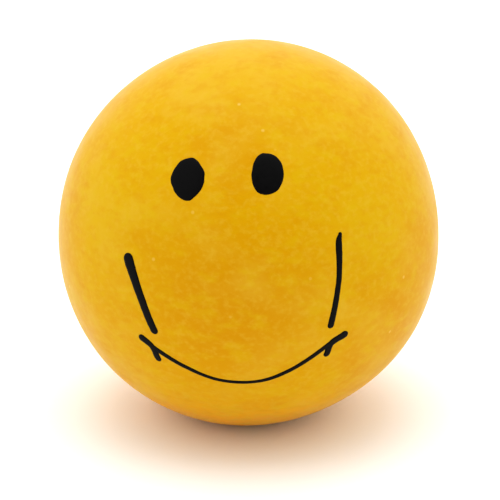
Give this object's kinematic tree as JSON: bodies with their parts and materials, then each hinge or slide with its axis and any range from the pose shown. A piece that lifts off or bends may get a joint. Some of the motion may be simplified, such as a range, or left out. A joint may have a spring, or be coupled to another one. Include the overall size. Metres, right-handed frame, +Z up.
{
  "type": "stress ball",
  "caption": "Round squeezable stress ball: a tied latex balloon packed with flour under a yellow outer balloon, with a plain smiling face in marker ink.",
  "frame": {"origin": "centre of the small flat patch on the ball's underside, level with what it rests on", "axes": "+Z up, -Y the way the face looks, +Y towards the back with the tied neck, +X to the right of someone who looks at the face"},
  "size_m": [0.07, 0.0848, 0.0694],
  "materials": {
    "yellow_latex": "satin",
    "inner_latex": "satin",
    "packed_flour": "matte",
    "marker_ink": "satin"
  },
  "bodies": {
    "root": {"filling": "packed_flour", "inner_balloon": "inner_latex", "neck_knot": "inner_latex", "neck_tail": "inner_latex", "outer_balloon": "yellow_latex", "left_eye": "marker_ink", "right_eye": "marker_ink", "smile": "marker_ink", "left_dimple": "marker_ink", "right_dimple": "marker_ink", "left_cheek_line": "marker_ink", "right_cheek_line": "marker_ink"}
  },
  "joints": []
}
